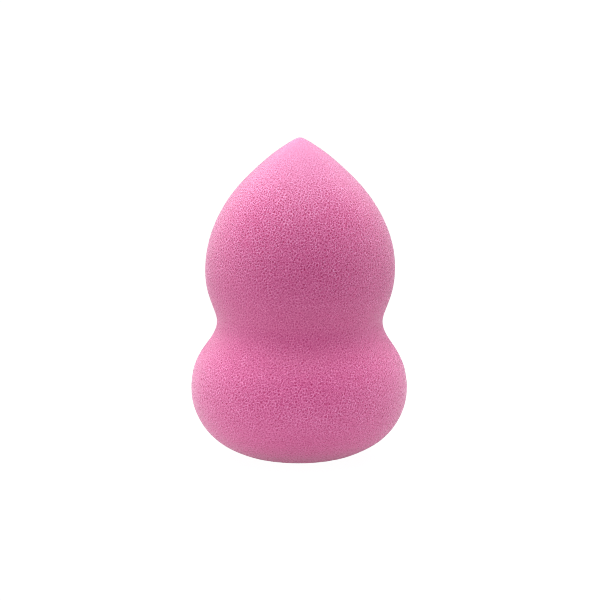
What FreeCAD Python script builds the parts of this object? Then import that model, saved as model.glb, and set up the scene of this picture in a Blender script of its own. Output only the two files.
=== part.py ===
import FreeCAD, Part
import os

# Gourd-shaped makeup sponge, standing on its broad end.
# Millimetres, +Z up, origin at the centre of the flat that it stands on.
# The real sponge is one block of soft foam, ground to shape. Here the block is
# divided by flat level cuts into the zones that move against each other when
# the sponge is pressed or bent. The zones meet face to face and nothing is
# added between them.

# ---------------------------------------------------------------- dimensions
height = 60.0            # floor to the point
base_flat_r = 8.0        # flat at the bottom that the sponge stands on
base_flat_tilt = (4.0, 1.0)   # direction (r, z) in which the side leaves the flat

lower_r, lower_z = 20.32, 14.0    # broadest ring of the lower bulb
waist_r, waist_z = 15.58, 25.5    # bottom of the groove round the waist
upper_r, upper_z = 17.75, 36.0    # broadest ring of the upper bulb

# levels of the cuts between the zones
cut_base = 9.0           # base pad | lower bulb
cut_waist_low = 20.5     # lower bulb | waist
cut_waist_high = 30.5    # waist | upper bulb
cut_shoulder = 46.0      # upper bulb | shoulder
cut_tip = 52.0           # shoulder | tip

# ---------------------------------------------------------------- side curve
# (radius, level) from the edge of the base flat up to the point
side = [
    (base_flat_r, 0.0),
    (10.50, 0.60),
    (12.75, 1.50),
    (15.35, 3.00),
    (17.50, 5.00),
    (19.10, 7.50),
    (20.14, 10.50),
    (lower_r, lower_z),
    (19.54, 17.50),
    (17.88, 20.50),
    (16.26, 23.00),
    (waist_r, waist_z),
    (16.35, 28.50),
    (17.44, 32.00),
    (upper_r, upper_z),
    (17.23, 40.00),
    (15.91, 44.00),
    (13.73, 48.00),
    (10.98, 51.50),
    (7.94, 54.50),
    (5.01, 57.00),
    (2.44, 58.80),
    (1.10, 59.62),
    (0.0, height),
]

os.makedirs("parts", exist_ok=True)
V = FreeCAD.Vector

curve = Part.BSplineCurve()
curve.interpolate(
    Points=[V(r, 0, z) for r, z in side],
    InitialTangent=V(base_flat_tilt[0], 0, base_flat_tilt[1]).normalize(),
    FinalTangent=V(-1, 0, 0),
    Scale=False,
)

# half section: side curve, axis, base flat
half = Part.Face(Part.Wire([
    curve.toShape(),
    Part.makeLine(V(0, 0, height), V(0, 0, 0)),
    Part.makeLine(V(0, 0, 0), V(base_flat_r, 0, 0)),
]))


def zone(low, high):
    """The foam between two levels, turned from the half section."""
    band = Part.makePlane(
        30.0, high - low, V(0, 0, low), V(0, -1, 0), V(1, 0, 0)
    )
    piece = half.common(band)
    face = max(piece.Faces, key=lambda f: f.Area)
    solid = face.revolve(V(0, 0, 0), V(0, 0, 1), 360)
    if solid.ShapeType != "Solid":
        solid = Part.Solid(Part.Shell(solid.Faces))
    if solid.Volume < 0:
        solid.reverse()
    return solid


zones = {
    "base": zone(0.0, cut_base),
    "lower_bulb": zone(cut_base, cut_waist_low),
    "waist": zone(cut_waist_low, cut_waist_high),
    "upper_bulb": zone(cut_waist_high, cut_shoulder),
    "shoulder": zone(cut_shoulder, cut_tip),
    "tip": zone(cut_tip, height),
}

total = 0.0
for name, solid in zones.items():
    box = solid.BoundBox
    print("%-11s valid %s  %.3f cm3  z %.2f..%.2f  r %.2f" % (
        name, solid.isValid(), solid.Volume / 1000.0, box.ZMin, box.ZMax, box.XMax))
    total += solid.Volume
    solid.exportStep("parts/%s.step" % name)
print("total %.2f cm3" % (total / 1000.0))
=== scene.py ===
import math

import bpy
import numpy as np
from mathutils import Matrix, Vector


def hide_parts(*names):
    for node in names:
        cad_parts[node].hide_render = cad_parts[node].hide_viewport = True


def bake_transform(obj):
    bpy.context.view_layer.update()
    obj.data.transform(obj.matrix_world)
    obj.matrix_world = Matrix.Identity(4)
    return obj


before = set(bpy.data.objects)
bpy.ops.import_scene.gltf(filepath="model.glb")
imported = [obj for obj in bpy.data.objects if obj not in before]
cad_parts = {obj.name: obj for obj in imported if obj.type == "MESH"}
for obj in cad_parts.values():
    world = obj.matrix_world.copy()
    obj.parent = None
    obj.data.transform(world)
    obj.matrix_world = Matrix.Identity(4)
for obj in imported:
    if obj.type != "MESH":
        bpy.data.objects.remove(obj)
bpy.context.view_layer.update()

# --------------------------------------------------------------------- sizes
# Side line of the sponge, (radius, level) in millimetres, from the edge of the
# flat that it stands on up to the point.
HEIGHT = 60.0
SIDE = np.array([
    (8.00, 0.00), (10.50, 0.60), (12.75, 1.50), (15.35, 3.00), (17.50, 5.00),
    (19.10, 7.50), (20.14, 10.50), (20.32, 14.00), (19.54, 17.50),
    (17.88, 20.50), (16.26, 23.00), (15.58, 25.50), (16.35, 28.50),
    (17.44, 32.00), (17.75, 36.00), (17.23, 40.00), (15.91, 44.00),
    (13.73, 48.00), (10.98, 51.50), (7.94, 54.50), (5.01, 57.00),
    (2.44, 58.80), (1.10, 59.62), (0.00, HEIGHT),
])
START_WAY = np.array([4.0, 1.0]) / math.hypot(4.0, 1.0)
END_WAY = np.array([-1.0, 0.0])

# Levels where one visual piece ends and the next begins. Each is a level that
# moves with one body alone, so the pieces stay joined at every pose.
SEAMS = (12.0, 25.5, 40.0)
STEP = 0.155            # distance between rings
FLAT_STEP = 0.25        # the same on the flat underneath
AROUND = 816            # points in a full ring, halved towards both ends

CELL = 0.46             # mean width of a foam cell
PIT = 0.10              # depth of an open cell
EVEN = 0.22             # width over which the open cells are spread evenly
# The cells are laid out on a grid turned away from the axes, so that no row of them follows the surface.
GRID_TURN = np.array([
    (0.36, 0.48, -0.80),
    (-0.80, 0.60, 0.00),
    (0.48, 0.64, 0.60),
])


# ------------------------------------------------------------ curve and rings
def side_curve(count):
    """Points along the side line, by a cubic spline through SIDE."""
    t = np.r_[0.0, np.cumsum(np.hypot(*np.diff(SIDE, axis=0).T))]
    n, h = len(t), np.diff(t)
    a, rhs = np.zeros((n, n)), np.zeros((n, 2))
    slope = np.diff(SIDE, axis=0) / h[:, None]
    a[0, 0] = a[-1, -1] = 1.0
    rhs[0], rhs[-1] = START_WAY, END_WAY
    for i in range(1, n - 1):
        a[i, i - 1], a[i, i], a[i, i + 1] = h[i], 2 * (h[i - 1] + h[i]), h[i - 1]
        rhs[i] = 3 * (h[i] * slope[i - 1] + h[i - 1] * slope[i])
    way = np.linalg.solve(a, rhs)
    at = np.linspace(0, t[-1], count)
    i = np.clip(np.searchsorted(t, at, side="right") - 1, 0, n - 2)
    u = ((at - t[i]) / h[i])[:, None]
    hh = h[i][:, None]
    return (
        (1 + 2 * u) * (1 - u) ** 2 * SIDE[i] + u * (1 - u) ** 2 * hh * way[i]
        + u * u * (3 - 2 * u) * SIDE[i + 1] + u * u * (u - 1) * hh * way[i + 1]
    )


def ring_places():
    """(radius, level, run) of each ring from the middle of the base to the point, and the ring numbers of the seams. run is the distance along the surface."""
    curve = side_curve(6000)
    flat = np.linspace(0, SIDE[0, 0], 200)[:-1]
    line = np.vstack([np.stack([flat, np.zeros_like(flat)], 1), curve])
    run = np.r_[0.0, np.cumsum(np.hypot(*np.diff(line, axis=0).T))]
    level = line[:, 1] + run * 1e-9
    stops = [0.0, SIDE[0, 0]] + [float(np.interp(z, level, run)) for z in SEAMS] + [run[-1]]
    places, seam_rings = [0.0], []
    for low, high in zip(stops, stops[1:]):
        n = max(1, round((high - low) / (STEP if low else FLAT_STEP)))
        places += [low + (high - low) * (k + 1) / n for k in range(n)]
        seam_rings.append(len(places) - 1)
    places = np.array(places)
    radius, z = np.interp(places, run, line[:, 0]), np.interp(places, run, line[:, 1])
    return radius, z, places, seam_rings[1:-1]


def points_in_ring(radius):
    n, least = AROUND, 10.8
    while n % 2 == 0 and radius < least and n > 60:
        n, least = n // 2, least / 2
    return n


# -------------------------------------------------------------------- pattern
def chance(ix, iy, iz, salt):
    """The same even number from 0 to 1 for the same whole-number place, each run."""
    with np.errstate(over="ignore"):
        h = (
            ix.astype(np.uint32) * np.uint32(0x8DA6B343)
            ^ iy.astype(np.uint32) * np.uint32(0xD8163841)
            ^ iz.astype(np.uint32) * np.uint32(0xCB1AB31F)
            ^ np.uint32(salt * 0x9E3779B1 & 0xFFFFFFFF)
        )
        h ^= h >> np.uint32(16)
        h *= np.uint32(0x7FEB352D)
        h ^= h >> np.uint32(15)
        h *= np.uint32(0x846CA68B)
        h ^= h >> np.uint32(16)
    return h.astype(np.float64) / 4294967296.0


def cells(p, width, salt):
    """For points in space: distance to the nearest and the next cell middle, in cell widths, and a number for the nearest cell."""
    g = p @ GRID_TURN / width
    base = np.floor(g).astype(np.int64)
    near = np.full(len(p), 9.0)
    nxt = np.full(len(p), 9.0)
    who = np.zeros(len(p))
    for dx in (-1, 0, 1):
        for dy in (-1, 0, 1):
            for dz in (-1, 0, 1):
                ix, iy, iz = base[:, 0] + dx, base[:, 1] + dy, base[:, 2] + dz
                d = np.sqrt(
                    (ix + chance(ix, iy, iz, salt) - g[:, 0]) ** 2
                    + (iy + chance(ix, iy, iz, salt + 1) - g[:, 1]) ** 2
                    + (iz + chance(ix, iy, iz, salt + 2) - g[:, 2]) ** 2
                )
                closer = d < near
                nxt = np.where(closer, near, np.minimum(nxt, d))
                who = np.where(closer, chance(ix, iy, iz, salt + 3), who)
                near = np.where(closer, d, near)
    return near, nxt, who


def waves(p, width, salt):
    """Smooth noise about 0, with lumps of that width."""
    g = p / width
    base = np.floor(g).astype(np.int64)
    f = g - base
    f = f * f * f * (f * (f * 6 - 15) + 10)
    total = np.zeros(len(p))
    for dx in (0, 1):
        for dy in (0, 1):
            for dz in (0, 1):
                w = (
                    np.where(dx, f[:, 0], 1 - f[:, 0])
                    * np.where(dy, f[:, 1], 1 - f[:, 1])
                    * np.where(dz, f[:, 2], 1 - f[:, 2])
                )
                total += w * (chance(base[:, 0] + dx, base[:, 1] + dy, base[:, 2] + dz, salt) * 2 - 1)
    return total


def smooth(low, high, x):
    t = np.clip((x - low) / (high - low), 0, 1)
    return t * t * (3 - 2 * t)


# ----------------------------------------------------------------- whole foam
radius, level, run, seam_rings = ring_places()
counts = [points_in_ring(r) for r in radius]
counts[0] = counts[-1] = 1
first = np.r_[0, np.cumsum(counts)]
ring_of = np.repeat(np.arange(len(counts)), counts)
turn = np.concatenate([np.arange(n) / n for n in counts])

angle = turn * 2 * math.pi
rad, z0, s0 = radius[ring_of], level[ring_of], run[ring_of]
# the grinding leaves the foam a little out of round and its two halves a hair off one line
lean = -0.16 * smooth(30.0, 16.0, z0) - 0.10 * smooth(9.0, 0.0, z0) + 0.06 * smooth(30.0, 40.0, z0) * smooth(58.0, 44.0, z0)
flat_share = smooth(0.0, 2.5, z0)
around_dir = np.stack([np.cos(angle), np.sin(angle), np.zeros_like(angle)], 1)
rest = np.stack([rad * np.cos(angle), rad * np.sin(angle), z0], 1)
out_of_round = (
    0.07 * waves(rest, 13.0, 11) + 0.025 * waves(rest, 5.0, 12)
) * flat_share * smooth(0.0, 3.0, rad)
slope = np.gradient(level, run), np.gradient(radius, run)
normal = around_dir * slope[0][ring_of][:, None]
normal[:, 2] = -slope[1][ring_of]
normal[ring_of == 0] = (0, 0, -1)
normal[rad + z0 < SIDE[0, 0] - 1e-6] = (0, 0, -1)
normal[ring_of == len(counts) - 1] = (0, 0, 1)
normal /= np.linalg.norm(normal, axis=1, keepdims=True)


def blurred(values, width):
    """Values evened out over that width of the surface, in millimetres."""
    grid = np.empty((len(counts), AROUND))
    for j, n in enumerate(counts):
        wave = np.fft.rfft(values[first[j]:first[j + 1]])
        wave = wave * np.exp(-0.5 * (np.arange(len(wave)) * width / max(radius[j], 1e-3)) ** 2)
        grid[j] = np.fft.irfft(wave, AROUND) * AROUND / n
    reach = int(3 * width / STEP)
    weights = np.exp(-0.5 * (np.arange(-reach, reach + 1) * STEP / width) ** 2)
    weights /= weights.sum()
    padded = np.pad(grid, ((reach, reach), (0, 0)), mode="reflect")
    grid = sum(w * padded[i:i + len(grid)] for i, w in enumerate(weights))
    return np.concatenate([grid[j, ::AROUND // n] for j, n in enumerate(counts)])


# open cells: pits between thin struts, each cut at its own depth, spread evenly so that they make no blotches
near, nxt, who = cells(rest, CELL, 31)
pore = smooth(0.0, 0.5, nxt - near) * (0.8 + 0.2 * who)
pore -= blurred(pore, EVEN)
# as many high struts as deep cells, in a bell curve about 0
rank = np.empty(len(pore))
rank[np.argsort(pore)] = (np.arange(len(pore)) + 0.5) / len(pore)
bell = np.linspace(-3.0, 3.0, 1201)
below = np.cumsum(np.exp(-bell ** 2 / 2))
pore = np.interp(rank, below / below[-1], bell)
# the foam is ground smoother in the groove, at the point and underneath: how clearly its cells show, and how deep they are left
rough = np.interp(
    z0, (0, 6, 13, 18, 24.5, 29, 38, 44, 51, 54, 57.5, 60),
    (0.45, 0.64, 0.97, 1.00, 0.62, 0.63, 0.95, 1.10, 1.42, 1.18, 0.52, 0.16))
relief = np.interp(z0, (0, 21, 25.5, 30, 38, 44, 50, 56, 60), (0.9, 0.95, 0.70, 0.85, 1.0, 0.80, 0.48, 0.28, 0.20))
# the highest struts are cut off flush with the ground surface
height = out_of_round - PIT * relief * np.maximum(0.33 + 0.28 * pore, 0.0)
# painted highlight: the colour is mixed towards a paler pink up the point, standing in for the bright light that falls
# on it
painted_tip_highlight = np.clip((z0 - 47.0) / 13.0, 0.0, 1.0) ** 1.4
place = rest + normal * height[:, None]
place[:, 0] += lean
place *= 0.001
rest *= 0.001

# an uneven tone of the foam at random, to which painted shade and light by level are added below
tone_and_painted_shade = 0.5 * waves(rest * 1000, 9.0, 61) + 0.3 * waves(rest * 1000, 3.1, 62) + 0.2 * waves(rest * 1000, 1.2, 63)
# painted shade and painted light: the colour is made a hair deeper in the groove, where shade falls, and lighter round
# the broad bulb, where light falls
tone_and_painted_shade += 0.9 * smooth(17.0, 22.0, z0) * smooth(33.0, 28.0, z0) - 0.9 * smooth(6.0, 10.0, z0) * smooth(16.0, 12.0, z0)


# --------------------------------------------------------------------- pieces
def strip(a, n, b, m):
    """Faces between a ring of n points from number a and the next ring of m points from b, with the outside out."""
    k = np.arange(max(n, m))
    if n == 1:
        return np.stack([np.full(m, a), b + (k + 1) % m, b + k], 1)
    if m == 1:
        return np.stack([a + k, a + (k + 1) % n, np.full(n, b)], 1)
    if n == m:
        return np.stack([a + k, a + (k + 1) % n, b + (k + 1) % n, b + k], 1)
    if n > m:
        i = np.arange(m)
        p, q, r = a + 2 * i, a + 2 * i + 1, a + (2 * i + 2) % n
        s, t = b + i, b + (i + 1) % m
        return np.vstack([np.stack(f, 1) for f in ((p, q, s), (q, t, s), (q, r, t))])
    i = np.arange(n)
    p, q = a + i, a + (i + 1) % n
    r, s, t = b + 2 * i, b + 2 * i + 1, b + (2 * i + 2) % m
    return np.vstack([np.stack(f, 1) for f in ((p, s, r), (p, q, s), (q, t, s))])


def make_mesh(name, points, strips):
    mesh = bpy.data.meshes.new(name)
    sizes = np.concatenate([np.full(len(f), f.shape[1], np.int32) for f in strips])
    corners = np.concatenate([f.ravel() for f in strips]).astype(np.int32)
    mesh.vertices.add(len(points))
    mesh.vertices.foreach_set("co", np.ascontiguousarray(points, np.float32).ravel())
    mesh.loops.add(len(corners))
    mesh.loops.foreach_set("vertex_index", corners)
    mesh.polygons.add(len(sizes))
    mesh.polygons.foreach_set("loop_start", np.r_[0, np.cumsum(sizes)[:-1]].astype(np.int32))
    mesh.update(calc_edges=True)
    mesh.validate()
    return mesh, corners, np.repeat(np.arange(len(sizes)), sizes)


whole, _, _ = make_mesh("whole", place, [
    strip(first[j], counts[j], first[j + 1], counts[j + 1]) for j in range(len(counts) - 1)])
whole_normals = np.zeros(len(place) * 3, np.float32)
whole.vertices.foreach_get("normal", whole_normals)
whole_normals = whole_normals.reshape(-1, 3)
bpy.data.meshes.remove(whole)

CAP_RINGS = (0.74, 0.48, 0.26, 0.12)     # rings of the level cut inside the foam, as shares of its radius


def cap(ring):
    """Points of the level cut inside one ring, from the outside in: place, turn, share of the radius, and the points in each ring."""
    edge = place[first[ring]:first[ring + 1]]
    middle = edge.mean(0)
    points, turns, shares, sizes = [], [], [], []
    step = 1
    for share in CAP_RINGS:
        step *= 2
        points.append(middle + share * (edge[::step] - middle))
        turns.append(np.arange(len(edge) // step) * step / len(edge))
        shares.append(np.full(len(edge) // step, share))
        sizes.append(len(edge) // step)
    points.append(middle[None])
    turns.append(np.zeros(1))
    shares.append(np.zeros(1))
    return points, turns, shares, sizes + [1]


def make_piece(name, low_ring, high_ring):
    """The foam between two rings, closed by level cuts where the next piece goes on."""
    low, high = first[low_ring], first[high_ring + 1]
    bottom, top = low_ring == 0, high_ring == len(counts) - 1
    blocks = [tuple(v[low:high] for v in (place, turn, ring_of, pore, rough, relief, painted_tip_highlight, tone_and_painted_shade, rest, whole_normals))]
    sizes = list(counts[low_ring:high_ring + 1])
    kinds = [0] * (len(sizes) - 1)
    for end, there in (("low", not bottom), ("high", not top)):
        if not there:
            continue
        ring = low_ring if end == "low" else high_ring
        points, turns, shares, more = cap(ring)
        if end == "low":
            points, turns, shares, more = points[::-1], turns[::-1], shares[::-1], more[::-1]
        n = sum(more)
        level_cut = np.vstack(points)
        block = (
            level_cut, np.concatenate(turns), -np.concatenate(shares), np.zeros(n), np.ones(n), np.ones(n), np.zeros(n), np.zeros(n),
            level_cut, np.tile((0.0, 0.0, -1.0 if end == "low" else 1.0), (n, 1)),
        )
        if end == "low":
            blocks.insert(0, block)
            sizes, kinds = more + sizes, [-1] * len(more) + kinds
        else:
            blocks.append(block)
            sizes, kinds = sizes + more, kinds + [1] * len(more)
    at, around, where, pores, roughs, reliefs, painted_tip_highlights, tones_and_painted_shades, rests, normals = (np.concatenate(b) for b in zip(*blocks))
    begin = np.r_[0, np.cumsum(sizes)]
    strips = [strip(begin[j], sizes[j], begin[j + 1], sizes[j + 1]) for j in range(len(sizes) - 1)]
    mesh, corner, face_of = make_mesh(name, at, strips)
    kind = np.repeat(kinds, [len(f) for f in strips])[face_of]
    mesh.polygons.foreach_set("use_smooth", np.ones(len(mesh.polygons), bool))
    corner_normals = normals[corner]
    corner_normals[kind < 0] = (0, 0, -1)
    corner_normals[kind > 0] = (0, 0, 1)
    mesh.normals_split_custom_set(corner_normals.tolist())
    for label, values in (("pore", pores), ("rough", roughs), ("relief", reliefs), ("painted_tip_highlight", painted_tip_highlights), ("tone_and_painted_shade", tones_and_painted_shades)):
        mesh.attributes.new(label, "FLOAT", "POINT").data.foreach_set("value", values.astype(np.float32))
    mesh.attributes.new("rest_place", "FLOAT_VECTOR", "POINT").data.foreach_set("vector", rests.astype(np.float32).ravel())

    # flat map: discs for the two ends of the sponge and for the level cuts, three stacked rows for the bands
    faces = face_of[-1] + 1
    size = np.bincount(face_of, minlength=faces)
    t = around[corner]
    middle = np.arctan2(
        np.bincount(face_of, np.sin(2 * np.pi * t)) / size, np.bincount(face_of, np.cos(2 * np.pi * t)) / size,
    ) / (2 * np.pi) % 1.0
    t = middle[face_of] + (t - middle[face_of] + 0.5) % 1.0 - 0.5
    ring = np.where(kind == 0, where[corner], 0).astype(int)
    along = (run[ring] - run[low_ring]) / (run[high_ring] - run[low_ring])
    share = np.where(where[corner] < 0, -where[corner], np.where(kind == 0, 0.0, 1.0))
    share = np.where((kind != 0) & (sizes_of(sizes, corner) == 1), 0.0, share)
    if bottom or top:
        far = 0.49 * (along if bottom else 1 - along)
        u, v = 0.5 + far * np.cos(2 * np.pi * t), 0.5 + far * np.sin(2 * np.pi * t)
    else:
        row = np.floor(middle[face_of] * 3).clip(0, 2)
        u = 0.01 + 0.98 * (t * 3 - row)
        v = (row + 0.02 + 0.96 * along) / 3 * 0.88
    spot_x = np.where(kind < 0, 0.06, 0.94)
    u = np.where(kind == 0, u, spot_x + 0.05 * share * np.cos(2 * np.pi * t))
    v = np.where(kind == 0, v, 0.94 + 0.05 * share * np.sin(2 * np.pi * t))
    layer = mesh.uv_layers.new(name="OFBake")
    layer.uv.foreach_set("vector", np.stack([u, v], 1).astype(np.float32).ravel())
    piece = bpy.data.objects.new(name, mesh)
    bpy.context.scene.collection.objects.link(piece)
    return piece


def sizes_of(sizes, corner):
    """How many points the ring of each face corner has."""
    return np.repeat(sizes, sizes)[corner]


edges = [0] + seam_rings + [len(counts) - 1]
names = ("foam_base", "foam_lower_bulb", "foam_upper_bulb", "foam_tip")
foam = {n: make_piece(n, a, b) for n, a, b in zip(names, edges, edges[1:])}


# ------------------------------------------------------------------- material
def foam_material():
    m = bpy.data.materials.new("pink_foam")
    m.use_nodes = True
    nodes, links = m.node_tree.nodes, m.node_tree.links
    shader = nodes["Principled BSDF"]
    shader.inputs["Roughness"].default_value = 0.50
    shader.inputs["Specular IOR Level"].default_value = 0.50
    shader.inputs["Sheen Weight"].default_value = 0.50
    shader.inputs["Sheen Roughness"].default_value = 0.50
    shader.inputs["Sheen Tint"].default_value = (1.0, 1.0, 1.0, 1.0)

    def node(kind, **values):
        n = nodes.new("ShaderNode" + kind)
        for k, v in values.items():
            setattr(n, k, v)
        return n

    def attribute(name, out):
        return node("Attribute", attribute_type="GEOMETRY", attribute_name=name).outputs[out]

    def maths(kind, *values):
        n = node("Math", operation=kind)
        for socket, value in zip(n.inputs, values):
            if isinstance(value, (int, float)):
                socket.default_value = value
            else:
                links.new(value, socket)
        return n.outputs[0]

    at = attribute("rest_place", "Vector")
    fine = node("TexNoise")
    fine.inputs["Scale"].default_value = 6000.0
    fine.inputs["Detail"].default_value = 0.0
    links.new(at, fine.inputs["Vector"])

    # 0 on the thin struts that catch the light, 1 down in the open cells: besides the foam's grain, the cells are
    # painted darker, a painted shade in the hollows
    pore = attribute("pore", "Fac")
    speck = maths("MULTIPLY_ADD", maths("SUBTRACT", fine.outputs["Fac"], 0.5), 0.97, maths("MULTIPLY", pore, 0.193))
    # the uneven tone, with painted shade in the groove and painted light round the bulb, deepens or lightens the colour
    deep = maths("MULTIPLY_ADD", attribute("tone_and_painted_shade", "Fac"), 0.027, 0.5)
    deep = maths("MULTIPLY_ADD", speck, attribute("rough", "Fac"), deep)
    ramp = node("ValToRGB")
    links.new(deep, ramp.inputs["Fac"])
    ramp.color_ramp.interpolation = "LINEAR"
    stops = ramp.color_ramp.elements
    stops[0].position, stops[0].color = 0.0, (1.0, 0.370, 0.690, 1.0)
    stops[1].position, stops[1].color = 1.0, (0.51, 0.005, 0.128, 1.0)
    stops.new(0.167).color = (0.97, 0.275, 0.590, 1.0)
    stops.new(0.5).color = (0.775, 0.129, 0.374, 1.0)
    stops.new(0.833).color = (0.60, 0.027, 0.199, 1.0)
    # painted highlight: the base colour turns paler towards the point
    painted_highlight_mix = node("Mix", data_type="RGBA")
    links.new(maths("MULTIPLY", attribute("painted_tip_highlight", "Fac"), 0.30), painted_highlight_mix.inputs["Factor"])
    links.new(ramp.outputs["Color"], painted_highlight_mix.inputs["A"])
    painted_highlight_mix.inputs["B"].default_value = (0.72, 0.335, 0.62, 1.0)
    links.new(painted_highlight_mix.outputs["Result"], shader.inputs["Base Color"])

    bump = node("Bump")
    bump.inputs["Strength"].default_value = 0.4
    bump.inputs["Distance"].default_value = 0.00006
    grain = maths("SUBTRACT", fine.outputs["Fac"], maths("MULTIPLY", pore, 0.15))
    links.new(maths("MULTIPLY", grain, attribute("relief", "Fac")), bump.inputs["Height"])
    links.new(bump.outputs["Normal"], shader.inputs["Normal"])
    return m


pink = foam_material()
for piece in foam.values():
    piece.data.materials.append(pink)

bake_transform(foam["foam_base"])
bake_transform(foam["foam_lower_bulb"])
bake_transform(foam["foam_upper_bulb"])
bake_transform(foam["foam_tip"])
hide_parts("base")
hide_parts("lower_bulb", "waist")
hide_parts("upper_bulb")
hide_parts("shoulder", "tip")

# --------------------------------------------------------------------- camera
RISE, AWAY, AIM = math.radians(10.0), 0.400, 0.02944
camera_data = bpy.data.cameras.new("camera")
camera = bpy.data.objects.new("camera", camera_data)
bpy.context.scene.collection.objects.link(camera)
camera.location = (0.0, -AWAY * math.cos(RISE), AIM + AWAY * math.sin(RISE))
camera.rotation_euler = (math.pi / 2 - RISE, 0.0, 0.0)
camera_data.sensor_width = 36.0
camera_data.lens = 36.0 * 2132.7 / 600.0
camera_data.clip_start, camera_data.clip_end = 0.01, 50.0
bpy.context.scene.camera = camera

# ---------------------------------------------------------------------- stage
scene = bpy.context.scene
scene.view_settings.view_transform = "Standard"
# the foam's finest grain is about a pixel wide, so it is kept sharp
scene.cycles.filter_width = 1.0
scene.cycles.denoising_prefilter = "NONE"

FLOOR_FULL, FLOOR_GONE = 0.05, 0.16     # the floor melts into the white round it between these radii
floor_mesh = bpy.data.meshes.new("floor")
ring = [(0.17 * math.cos(2 * math.pi * k / 96), 0.17 * math.sin(2 * math.pi * k / 96), 0.0) for k in range(96)]
floor_mesh.from_pydata(ring, [], [tuple(range(96))])
floor = bpy.data.objects.new("floor", floor_mesh)
scene.collection.objects.link(floor)
paper = bpy.data.materials.new("pale_floor")
paper.use_nodes = True
tree = paper.node_tree
matt = tree.nodes["Principled BSDF"]
matt.inputs["Base Color"].default_value = (0.45, 0.45, 0.45, 1.0)
matt.inputs["Roughness"].default_value = 0.9
matt.inputs["Specular IOR Level"].default_value = 0.0
# a light table: the floor gives some light of its own
matt.inputs["Emission Color"].default_value = (1.0, 1.0, 1.0, 1.0)
matt.inputs["Emission Strength"].default_value = 0.28
coords = tree.nodes.new("ShaderNodeTexCoord")
length = tree.nodes.new("ShaderNodeVectorMath")
length.operation = "LENGTH"
fade = tree.nodes.new("ShaderNodeMapRange")
fade.interpolation_type = "SMOOTHSTEP"
fade.inputs["From Min"].default_value = FLOOR_FULL
fade.inputs["From Max"].default_value = FLOOR_GONE
clear = tree.nodes.new("ShaderNodeBsdfTransparent")
mix = tree.nodes.new("ShaderNodeMixShader")
tree.links.new(coords.outputs["Object"], length.inputs[0])
tree.links.new(length.outputs["Value"], fade.inputs["Value"])
# the light table shows nearly white, so that only a trace of the sponge's shadow is seen on it
white = tree.nodes.new("ShaderNodeEmission")
white.inputs["Strength"].default_value = 1.10
sight = tree.nodes.new("ShaderNodeLightPath")
trace = tree.nodes.new("ShaderNodeMath")
trace.operation = "MULTIPLY"
trace.inputs[1].default_value = 0.85
table = tree.nodes.new("ShaderNodeMixShader")
tree.links.new(sight.outputs["Is Camera Ray"], trace.inputs[0])
tree.links.new(trace.outputs[0], table.inputs[0])
tree.links.new(matt.outputs[0], table.inputs[1])
tree.links.new(white.outputs[0], table.inputs[2])
tree.links.new(fade.outputs["Result"], mix.inputs[0])
tree.links.new(table.outputs[0], mix.inputs[1])
tree.links.new(clear.outputs[0], mix.inputs[2])
tree.links.new(mix.outputs[0], tree.nodes["Material Output"].inputs["Surface"])
floor_mesh.materials.append(paper)

world = bpy.data.worlds.new("studio")
scene.world = world
world.use_nodes = True
tree = world.node_tree
glow = tree.nodes["Background"]
glow.inputs["Color"].default_value = (1.0, 1.0, 1.0, 1.0)
glow.inputs["Strength"].default_value = 0.0
seen = tree.nodes.new("ShaderNodeBackground")
seen.inputs["Color"].default_value = (1.0, 1.0, 1.0, 1.0)
seen.inputs["Strength"].default_value = 1.04
path = tree.nodes.new("ShaderNodeLightPath")
pick = tree.nodes.new("ShaderNodeMixShader")
tree.links.new(path.outputs["Is Camera Ray"], pick.inputs[0])
tree.links.new(glow.outputs[0], pick.inputs[1])
tree.links.new(seen.outputs[0], pick.inputs[2])
tree.links.new(pick.outputs[0], tree.nodes["World Output"].inputs["Surface"])


def soft_light(name, turn_deg, rise_deg, power):
    """A wide soft light far away. Turn 0 is from the camera's side, 90 from +X."""
    data = bpy.data.lights.new(name, "SUN")
    data.energy = power
    data.angle = math.radians(50)
    lamp = bpy.data.objects.new(name, data)
    scene.collection.objects.link(lamp)
    a, b = math.radians(turn_deg), math.radians(rise_deg)
    way = Vector((math.sin(a) * math.cos(b), -math.cos(a) * math.cos(b), math.sin(b)))
    lamp.rotation_mode = "QUATERNION"
    lamp.rotation_quaternion = way.to_track_quat("Z", "Y")
    lamp.location = way
    return lamp


for name, turn_deg, rise_deg, power in (
    ("light_front_top", 349, 75.5, 1.22),
    ("light_back_top", 206, 78, 0.75),
    ("light_back", 180, 55, 0.34),
    ("light_back_left", 225, 55, 1.26),
    ("light_back_left_low", 225, 22, 0.66),
    ("light_back_right", 135, 55, 1.25),
    ("light_back_right_low", 135, 26, 0.31),
    ("light_left", 270, 5, 0.79),
    ("light_right", 90, 5, 0.68),
    ("light_front_left", 315, 26, 0.62),
    ("light_front_right", 45, 30, 0.38),
):
    soft_light(name, turn_deg, rise_deg, power)
